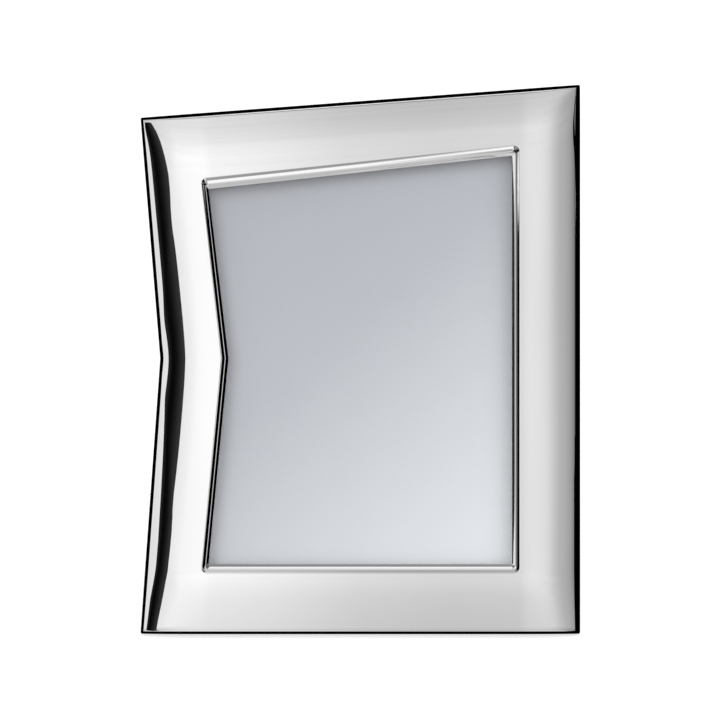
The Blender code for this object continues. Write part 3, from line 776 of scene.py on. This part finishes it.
def driven_screw():
    screw = headed_pin(
        "driven_screw", SCREW_HEAD_RADIUS, SCREW_HEAD_HEIGHT, SCREW_RADIUS, SCREW_LENGTH - SCREW_TIP
    )
    bpy.ops.object.mode_set(mode="EDIT")
    bpy.ops.mesh.extrude_region_move(TRANSFORM_OT_translate={"value": (0, 0, -SCREW_TIP)})
    bpy.ops.transform.resize(
        value=(SCREW_TIP_SHARE, SCREW_TIP_SHARE, 1), center_override=(0, 0, -SCREW_LENGTH)
    )
    bpy.ops.object.mode_set(mode="OBJECT")
    slot = cut_block(
        "slot",
        Vector((-2 * SCREW_HEAD_RADIUS, -SLOT_WIDTH / 2, SCREW_HEAD_HEIGHT - SLOT_DEPTH)),
        Vector((2 * SCREW_HEAD_RADIUS, SLOT_WIDTH / 2, 2 * SCREW_HEAD_HEIGHT)),
    )
    use_tool(screw, slot, "DIFFERENCE")
    ease_edges(screw, SCREW_EASE, 2, METAL_ANGLE)
    return screw


bright_metal = plated_metal(
    "bright_plated_steel", BRIGHT_STEEL, DULL_STEEL, STEEL_ROUGHNESS, STEEL_RUB_TURN
)
first_screw = driven_screw()
for spot, slot_turn in SLOT_TURNS.items():
    low, high = upright_box(f"button_screw_{spot}")
    seat = Vector((pivots[spot].x, high.y - SCREW_HEAD_HEIGHT, pivots[spot].z))
    screw = made_again(first_screw, f"slotted_screw_{spot}")
    turn = Matrix.Rotation(slot_turn, 4, "Y") @ Matrix.Rotation(-math.pi / 2, 4, "X")
    set_in_frame(screw, bright_metal, "bright_steel", "frame", f"button_screw_{spot}",
                 place=Matrix.Translation(seat) @ turn)
bpy.data.objects.remove(first_screw, do_unlink=True)

# Strut hinge plate: a bright steel strip, riveted high on the panel. Its lower corners are turned
# up into two ears that carry the pin.

EAR_SPAN = 0.0220
EAR_THICK = 0.0008
PIN_HOLE = 0.0013
PLATE_EAR_RADIUS = 0.0028
PLATE_CORNER = 0.0030
PLATE_THICK = 0.0008
PLATE_STANDOFF = 0.0029
STRIP_EASE = 0.00012
END_STEPS = 8
SAME_PLACE = 0.000001

pin_low, pin_high = upright_box("strut_hinge_pin")
pin_place = (pin_low + pin_high) / 2


def round_end(piece, height, corner):
    """Rounds the two corners of a flat piece at one end."""
    bpy.ops.object.mode_set(mode="EDIT")
    bpy.ops.mesh.select_all(action="DESELECT")
    blank = bmesh.from_edit_mesh(piece.data)
    for edge in blank.edges:
        ends = [vert.co for vert in edge.verts]
        at_end = all(abs(end.z - height) < SAME_PLACE for end in ends)
        edge.select = at_end and abs(ends[0].x - ends[1].x) < SAME_PLACE
    bmesh.update_edit_mesh(piece.data)
    bpy.ops.mesh.bevel(offset=corner, segments=END_STEPS, affect="EDGES")
    bpy.ops.object.mode_set(mode="OBJECT")


def eared_plate(name, low, high, ear_radius, pin, corner, rounded_end):
    """A flat strip with two ears bored for the pin, and with the corners of one end rounded."""
    strip = cut_block(name, low, high)
    round_end(strip, rounded_end, corner)
    root = (low.y + high.y) / 2
    for ear_x in (low.x + EAR_THICK / 2, high.x - EAR_THICK / 2):
        ear = round_bar("ear", ear_radius, EAR_THICK, (ear_x, pin.y, pin.z), "X")
        for vert in ear.data.vertices:
            if (vert.co.y - pin.y) * (root - pin.y) > 0:
                vert.co.y = root
        use_tool(strip, ear, "UNION")
    use_tool(strip, round_bar("drill", PIN_HOLE, 2 * EAR_SPAN, pin, "X"), "DIFFERENCE")
    ease_edges(strip, STRIP_EASE, 2, METAL_ANGLE)
    return strip


low, high = upright_box("strut_hinge_plate")
plate_back = pin_place.y - PLATE_STANDOFF
hinge_plate = eared_plate(
    "riveted_hinge_plate", Vector((low.x, plate_back - PLATE_THICK, low.z)),
    Vector((high.x, plate_back, high.z)), PLATE_EAR_RADIUS, pin_place, PLATE_CORNER, high.z,
)
set_in_frame(hinge_plate, bright_metal, "bright_steel", "frame", "strut_hinge_plate")

# Strut hinge pin: a 2 mm steel pin through the ears of plate and leaf, headed over at both ends
# outside the plate's ears.

PIN_RADIUS = 0.0010
PIN_HEAD_HEIGHT = 0.0006
PIN_HEAD_RADIUS = 0.0017
PIN_EASE = 0.00022

hinge_pin = round_bar(
    "headed_hinge_pin", PIN_RADIUS, pin_high.x - pin_low.x - 2 * PIN_HEAD_HEIGHT, pin_place, "X"
)
for side, face_x in ((-1, pin_low.x), (1, pin_high.x)):
    head = round_bar(
        "pin_head", PIN_HEAD_RADIUS, PIN_HEAD_HEIGHT,
        (face_x - side * PIN_HEAD_HEIGHT / 2, pin_place.y, pin_place.z), "X",
    )
    use_tool(hinge_pin, head, "UNION")
ease_edges(hinge_pin, PIN_EASE, 3, METAL_ANGLE)
set_in_frame(hinge_pin, bright_metal, "bright_steel", "frame", "strut_hinge_pin")

# Plate rivets: four domed steel rivets that go through the plate and into the panel, and hold the
# hinge and the strut to it.

RIVET_HEAD_RADIUS = 0.0022
RIVET_HEAD_HEIGHT = 0.0009
RIVET_RADIUS = 0.0012
RIVET_DEPTH = 0.0036
PLATE_RIVETS = 4


def set_rivet(node, body, place=Matrix.Identity(4)):
    low, high = upright_box(node, place)
    rivet = headed_pin(
        f"domed_{node}", RIVET_HEAD_RADIUS, RIVET_HEAD_HEIGHT, RIVET_RADIUS, RIVET_DEPTH
    )
    bpy.ops.object.shade_smooth_by_angle(angle=math.radians(METAL_ANGLE))
    seat = Vector(((low.x + high.x) / 2, high.y - RIVET_HEAD_HEIGHT, (low.z + high.z) / 2))
    turned = Matrix.Translation(seat) @ Matrix.Rotation(-math.pi / 2, 4, "X")
    set_in_frame(rivet, bright_metal, "bright_steel", body, node, place=place @ turned)


for number in range(1, PLATE_RIVETS + 1):
    set_rivet(f"plate_rivet_{number}", "frame")

# Strut leg: a tapered 3 mm board with the same veneer as the panel. It hangs on the hinge, stands
# open by 23 degrees from the panel, and its foot is cut flat to the table.

STRUT_SWING = math.radians(23.0)
LEG_TOP_WIDTH = 0.0360
LEG_CORNER = 0.0040
LEG_EASE = 0.0005
LEG_DARK = (0.056, 0.028, 0.016)
LEG_LIGHT = (0.168, 0.088, 0.048)
LEG_ROUGHNESS = 0.34

strut_place = Matrix.Translation(pin_place) @ Matrix.Rotation(STRUT_SWING, 4, "X")
low, high = upright_box("strut_leg", strut_place)
leg = cut_block("veneered_strut_leg", low, high)
foot_slope = math.tan(STRUT_SWING - LEAN)
for vert in leg.data.vertices:
    if vert.co.z > (low.z + high.z) / 2:
        vert.co.x = math.copysign(LEG_TOP_WIDTH / 2, vert.co.x)
    else:
        vert.co.z = low.z + foot_slope * (high.y - vert.co.y)
round_end(leg, high.z, LEG_CORNER)
ease_edges(leg, LEG_EASE, 3)
leg_veneer = stained_wood(
    "leg_veneer", LEG_DARK, LEG_LIGHT, math.pi / 2, LEG_ROUGHNESS, LEAN - STRUT_SWING
)
set_in_frame(leg, leg_veneer, "panel_wood", "strut", "strut_leg", place=strut_place)

# Strut hinge leaf: a bright steel strip riveted to the leg, with two ears on the pin. Its upper end
# is a heel that meets the plate and stops the leg when it is open.

LEAF_EAR_RADIUS = 0.0023
LEAF_THICK = 0.0008
LEAF_OFFSET = 0.0014
LEAF_CORNER = 0.0030

low, high = upright_box("strut_hinge_leaf", strut_place)
hinge_leaf = eared_plate(
    "riveted_hinge_leaf", Vector((low.x, LEAF_OFFSET, low.z)),
    Vector((high.x, LEAF_OFFSET + LEAF_THICK, high.z)), LEAF_EAR_RADIUS, Vector((0, 0, 0)),
    LEAF_CORNER, low.z,
)
set_in_frame(hinge_leaf, bright_metal, "bright_steel", "strut", "strut_hinge_leaf",
             place=strut_place)

# Leaf rivets: two domed steel rivets, as on the plate, that go through the leaf and into the leg
# and hold it to its hinge.

LEAF_RIVETS = 2

for number in range(1, LEAF_RIVETS + 1):
    set_rivet(f"leaf_rivet_{number}", "strut", strut_place)

# Dark side cards: matt black cards that stand close beside the frame and parallel to its edges,
# seen by polished metal only. The dome mirrors them as a dark band on the left, and on the right as
# a broader black edge low down and a thin dark line high up.

CARD_GAP = 0.0120
LEFT_CARD = (
    (-0.06, 0.0200, -0.06, 0.0464), (0.009, 0.0200, 0.000, 0.0464), (0.015, 0.0202, 0.010, 0.0492),
    (0.024, 0.0232, 0.024, 0.0529), (0.033, 0.0252, 0.033, 0.0545), (0.044, 0.0258, 0.046, 0.0580),
    (0.068, 0.0246, 0.068, 0.0615), (0.097, 0.0223, 0.097, 0.0618), (0.131, 0.0206, 0.131, 0.0613),
    (0.165, 0.0206, 0.165, 0.0607), (0.185, 0.0200, 0.185, 0.0604), (0.200, 0.0192, 0.200, 0.0590),
    (0.210, 0.0188, 0.210, 0.0574), (0.219, 0.0184, 0.219, 0.0554), (0.226, 0.0180, 0.228, 0.0524),
    (0.233, 0.0175, 0.237, 0.0490), (0.239, 0.0166, 0.246, 0.0455), (0.244, 0.0150, 0.253, 0.0424),
    (0.249, 0.0175, 0.259, 0.0400), (0.252, 0.0200, 0.265, 0.0384), (0.2535, 0.0216, 0.270, 0.0373),
)
RIGHT_CARD = (
    (-0.06, 0.0060, -0.06, 0.0166), (0.040, 0.0060, 0.040, 0.0166), (0.074, 0.0060, 0.074, 0.0166),
    (0.080, 0.0060, 0.080, 0.0150), (0.093, 0.0060, 0.093, 0.0146), (0.096, 0.0060, 0.096, 0.0110),
    (0.205, 0.0060, 0.205, 0.0110), (0.216, 0.0060, 0.216, 0.0120), (0.236, 0.0060, 0.236, 0.0184),
    (0.238, 0.0140, 0.238, 0.0188), (0.246, 0.0166, 0.246, 0.0197), (0.257, 0.0150, 0.257, 0.0184),
    (0.262, 0.0150, 0.262, 0.0178),
)
LEFT_CARD_TONES = (
    (0.0, 0.0212), (0.10, 0.0123), (0.17, 0.0037), (0.24, 0.0021), (0.31, 0.0024), (0.44, 0.0060),
    (0.59, 0.0137), (0.76, 0.0252), (1.0, 0.0367),
)
RIGHT_CARD_TONES = ((0.0, 0.0005), (1.0, 0.001))


def left_edge(height):
    """Place of the kinked left edge at a height, also over and under the frame."""
    if height < KINK_HEIGHT:
        return KINK_INSET * height / KINK_HEIGHT
    return KINK_INSET * (LEFT_HEIGHT - height) / (LEFT_HEIGHT - KINK_HEIGHT)


def tone_ramp(finish, source, tones):
    """Greys at shares of a pattern's values."""
    return colour_ramp(finish, source, [(share, (tone, tone, tone)) for share, tone in tones])


def side_card(name, outline, edge_at, gap, tones):
    """A card cut to an outline of heights and reaches, which only polished metal shows."""
    bpy.ops.object.select_all(action="DESELECT")
    bpy.ops.mesh.primitive_grid_add(x_subdivisions=1, y_subdivisions=len(outline) - 1, size=1)
    card = bpy.context.object
    card.name = name
    for vert in card.data.vertices:
        station = outline[round((len(outline) - 1) * (vert.co.y + 0.5))]
        height, reach = station[:2] if vert.co.x < 0 else station[2:]
        vert.co = (edge_at(height) + gap, -reach, height)
    card.matrix_world = lean_back
    paper = bpy.data.materials.new(f"{name}_paper")
    paper.use_nodes = True
    paper.node_tree.nodes.clear()
    across = add_node(paper, "ShaderNodeSeparateXYZ", [
        ("Vector", add_node(paper, "ShaderNodeTexCoord").outputs["UV"]),
    ])
    glow = add_node(
        paper, "ShaderNodeEmission", [("Strength", tone_ramp(paper, across.outputs["X"], tones))]
    )
    add_node(paper, "ShaderNodeOutputMaterial", [("Surface", glow.outputs["Emission"])])
    card.data.materials.append(paper)
    card.visible_camera = False
    card.visible_diffuse = False
    card.visible_transmission = False
    card.visible_shadow = False


side_card("left_dark_card", LEFT_CARD, left_edge, -CARD_GAP, LEFT_CARD_TONES)
side_card("right_dark_card", RIGHT_CARD, lambda height: FACE_WIDTH, CARD_GAP, RIGHT_CARD_TONES)

# Studio: a pale curved tent round the object, seen only in its polished metal and glass. Its tones
# run from side to side and from low to high, and it ends in a dark gap all round, with one small
# light in the gap on the right. The camera looks through all this at plain white.

TENT_ACROSS = (
    (-85, 0.78), (-80, 0.80), (-72, 0.74), (-62, 0.75), (-26, 0.80), (-20, 0.875), (-16, 0.94),
    (-11, 0.965), (-4, 0.97), (-2.3, 0.95), (-1.4, 0.86), (0, 0.72), (1.7, 0.655), (3, 0.69),
    (5, 0.74), (8, 0.765), (13, 0.765), (16.5, 0.74), (19.5, 0.70), (22.5, 0.63), (25.5, 0.555),
    (31.5, 0.455), (40.5, 0.40), (49.5, 0.34), (58.5, 0.255), (65, 0.195), (70, 0.12), (75, 0.06),
)
TENT_UPWARDS = (
    (-97, 0.50), (-90, 0.60), (-80, 0.72), (-65, 0.76), (-50, 0.74), (-30, 0.76), (-18, 0.80),
    (-16.5, 0.86), (-15, 0.93), (-13, 0.98), (-10, 1.0), (10, 1.0), (16, 0.972), (19.5, 0.925),
    (22.5, 0.885), (25.5, 0.855), (29, 0.835), (34, 0.815), (46, 0.785), (60, 0.765), (67, 0.745),
    (70, 0.62), (72.5, 0.38), (77, 0.32), (80, 0.33), (82.5, 0.60), (86, 0.87),
)
TENT_RIM = ((-180, 0.0), (80, 0.0), (84, 0.96), (180, 0.96))
TENT_FOLD_SPREAD = (0.965, 1.035, 0.3, 0.7)
TENT_FOLD_SCALE = (2.2, 2.2, 15.0)
TENT_SHEAR = TOP_DROP / FACE_WIDTH
TENT_EDGES = {"left": 86.0, "right": 73.5, "top": 97.0, "bottom": 97.0}
TENT_EDGE_BLUR = 0.035
GAP_END = (137.0, 150.0)
BEHIND_TENT = 0.55
SIDE_LIGHT_ACROSS = (76.0, 77.5, 85.0, 87.0)
SIDE_LIGHT_UPWARDS = (3.0, 3.7, 4.7, 5.0)
SIDE_LIGHT_TONE = 0.80
ROOM_LEVEL = (0.62, 0.84)
LEAST_LENGTH = 0.0001

studio = bpy.data.worlds.new("studio")
bpy.context.scene.world = studio
studio.use_nodes = True
studio.node_tree.nodes.clear()


def along_axis(direction, axis):
    return add_node(
        studio, "ShaderNodeVectorMath", [(0, direction), (1, tuple(axis))], operation="DOT_PRODUCT"
    ).outputs["Value"]


def tone_by_angle(angle, stops):
    """The tent's tone by an angle in degrees."""
    shares = [((stop + 180.0) / 360.0, tone) for stop, tone in stops]
    return tone_ramp(studio, spread(studio, angle, 0.0, 1.0, -180.0, 180.0), shares)


ahead = lean_back.to_3x3() @ Vector((0, -1, 0))
upwards = lean_back.to_3x3() @ Vector((0, 0, 1))
looking = add_node(studio, "ShaderNodeTexCoord").outputs["Generated"]
sideways = along_axis(looking, (1, 0, 0))
rising = along_axis(looking, upwards)
off_axis = worked_out(
    studio, "MULTIPLY", worked_out(studio, "ARCCOSINE", along_axis(looking, ahead)), math.degrees(1)
)
off_length = worked_out(
    studio, "SQRT",
    worked_out(studio, "ADD", worked_out(studio, "MULTIPLY", sideways, sideways),
               worked_out(studio, "MULTIPLY", rising, rising)),
)
per_length = worked_out(
    studio, "DIVIDE", off_axis, worked_out(studio, "MAXIMUM", off_length, LEAST_LENGTH)
)
side_angle = worked_out(studio, "MULTIPLY", sideways, per_length)
rise_angle = worked_out(studio, "MULTIPLY", rising, per_length)


def edge_share(angle, below, above):
    """How far an angle lies on the way to the tent's edge on its side."""
    under = worked_out(studio, "DIVIDE", worked_out(studio, "MAXIMUM", worked_out(
        studio, "MULTIPLY", angle, -1.0), 0.0), below)
    over = worked_out(studio, "DIVIDE", worked_out(studio, "MAXIMUM", angle, 0.0), above)
    share = worked_out(studio, "ADD", under, over)
    return worked_out(studio, "MULTIPLY", share, share)


def inside_band(angle, start, full, ending, end):
    """One inside a band of angles and nothing outside it."""
    return worked_out(
        studio, "MULTIPLY", spread(studio, angle, 0.0, 1.0, start, full),
        spread(studio, angle, 1.0, 0.0, ending, end),
    )


tent_share = worked_out(studio, "SQRT", worked_out(
    studio, "ADD", edge_share(side_angle, TENT_EDGES["left"], TENT_EDGES["right"]),
    edge_share(rise_angle, TENT_EDGES["bottom"], TENT_EDGES["top"]),
))
slanted = worked_out(studio, "ADD", side_angle, worked_out(
    studio, "MULTIPLY", worked_out(studio, "MAXIMUM", rise_angle, 0.0), TENT_SHEAR))
tent_tone = worked_out(
    studio, "MULTIPLY", tone_by_angle(slanted, TENT_ACROSS), tone_by_angle(rise_angle, TENT_UPWARDS)
)
tent_tone = worked_out(studio, "MAXIMUM", tent_tone, tone_by_angle(rise_angle, TENT_RIM))
fold_places = add_node(
    studio, "ShaderNodeMapping", [("Vector", looking), ("Scale", TENT_FOLD_SCALE)]
)
folds = mottling(studio, fold_places.outputs["Vector"], 1.0, 3.0)
tent_tone = worked_out(studio, "MULTIPLY", tent_tone, spread(studio, folds, *TENT_FOLD_SPREAD))
side_light = worked_out(studio, "MULTIPLY", SIDE_LIGHT_TONE, worked_out(
    studio, "MULTIPLY", inside_band(side_angle, *SIDE_LIGHT_ACROSS),
    inside_band(rise_angle, *SIDE_LIGHT_UPWARDS),
))
inside_tent = spread(studio, tent_share, 1.0, 0.0, 1.0 - TENT_EDGE_BLUR, 1.0 + TENT_EDGE_BLUR)
mirrored = worked_out(
    studio, "DIVIDE",
    worked_out(
        studio, "ADD", side_light,
        worked_out(studio, "ADD", worked_out(studio, "MULTIPLY", tent_tone, inside_tent),
                   spread(studio, off_axis, 0.0, BEHIND_TENT, *GAP_END)),
    ),
    SILVER_SHADE,
)
room = spread(studio, along_axis(looking, (0, 0, 1)), *ROOM_LEVEL, -1.0, 1.0)
ray = add_node(studio, "ShaderNodeLightPath")
through = worked_out(
    studio, "MAXIMUM", ray.outputs["Is Camera Ray"], ray.outputs["Is Transmission Ray"]
)
seen = worked_out(
    studio, "ADD", worked_out(studio, "MULTIPLY", ray.outputs["Is Glossy Ray"], mirrored), through
)
unseen = worked_out(
    studio, "SUBTRACT", worked_out(studio, "SUBTRACT", 1.0, ray.outputs["Is Glossy Ray"]), through
)
level = worked_out(studio, "ADD", seen, worked_out(studio, "MULTIPLY", unseen, room))
backdrop = add_node(
    studio, "ShaderNodeBackground", [("Color", (1.0, 1.0, 1.0, 1.0)), ("Strength", level)]
)
add_node(studio, "ShaderNodeOutputWorld", [("Surface", backdrop.outputs["Background"])])

# Floor: a wide sheet of matt white paper under the frame. It is a little lit of itself, so that it
# runs into the white backdrop, and grey enough that the frame's soft shadow stays on it.

FLOOR_SIZE = 40.0
FLOOR_PAPER = (0.50, 0.50, 0.50)
FLOOR_GLOW = 0.64

bpy.ops.object.select_all(action="DESELECT")
bpy.ops.mesh.primitive_plane_add(size=FLOOR_SIZE)
floor = bpy.context.object
floor.name = "white_paper_floor"
floor_finish, floor_shader = new_finish("matt_white_paper", FLOOR_PAPER, 1.0)
floor_shader.inputs["Specular IOR Level"].default_value = 0.0
floor_ray = add_node(floor_finish, "ShaderNodeLightPath")
shown = worked_out(
    floor_finish, "ADD",
    floor_ray.outputs["Is Camera Ray"], floor_ray.outputs["Is Transmission Ray"],
)
floor_shader.inputs["Emission Color"].default_value = (1, 1, 1, 1)
connect(floor_finish, worked_out(floor_finish, "MULTIPLY", shown, FLOOR_GLOW), floor_shader,
        "Emission Strength")
floor.data.materials.append(floor_finish)
floor.visible_glossy = False

# Lamps: three large soft boxes, one high on the left, one on the right and one behind. They light
# wood, card and floor, and polished metal doesn't mirror them.

LAMPS = {
    "left_soft_box": ((-1.3, -1.6, 1.9), 1.4, 17.0),
    "right_soft_box": ((1.7, -1.2, 1.2), 1.2, 11.0),
    "rear_soft_box": ((0.4, 2.1, 1.7), 1.4, 8.0),
}
middle = lean_back @ Vector((FACE_WIDTH / 2, 0.0, RIGHT_HEIGHT / 2))
for name, (place, size, power) in LAMPS.items():
    lamp = bpy.data.lights.new(name, "AREA")
    lamp.size = size
    lamp.energy = power
    holder = bpy.data.objects.new(name, lamp)
    holder.location = place
    holder.rotation_euler = (middle - Vector(place)).to_track_quat("-Z", "Y").to_euler()
    holder.visible_camera = False
    holder.visible_glossy = False
    holder.visible_transmission = False
    bpy.context.scene.collection.objects.link(holder)

# Camera: square to the leaning face, as in the photograph, and far enough back that the frame's
# depth hardly draws together.

SENSOR_MM = 36.0
VIEW_WIDTH = 0.3420
VIEW_DISTANCE = 1.70
VIEW_CENTRE = Vector((0.10434, -0.0050, 0.1301))

photographer = bpy.data.cameras.new("front_camera")
photographer.sensor_width = SENSOR_MM
photographer.lens = SENSOR_MM * VIEW_DISTANCE / VIEW_WIDTH
camera = bpy.data.objects.new("front_camera", photographer)
camera.location = lean_back @ (VIEW_CENTRE + Vector((0, -VIEW_DISTANCE, 0)))
camera.rotation_euler = (math.pi / 2 - LEAN, 0.0, 0.0)
bpy.context.scene.collection.objects.link(camera)
bpy.context.scene.camera = camera
bpy.context.scene.view_settings.view_transform = "Standard"
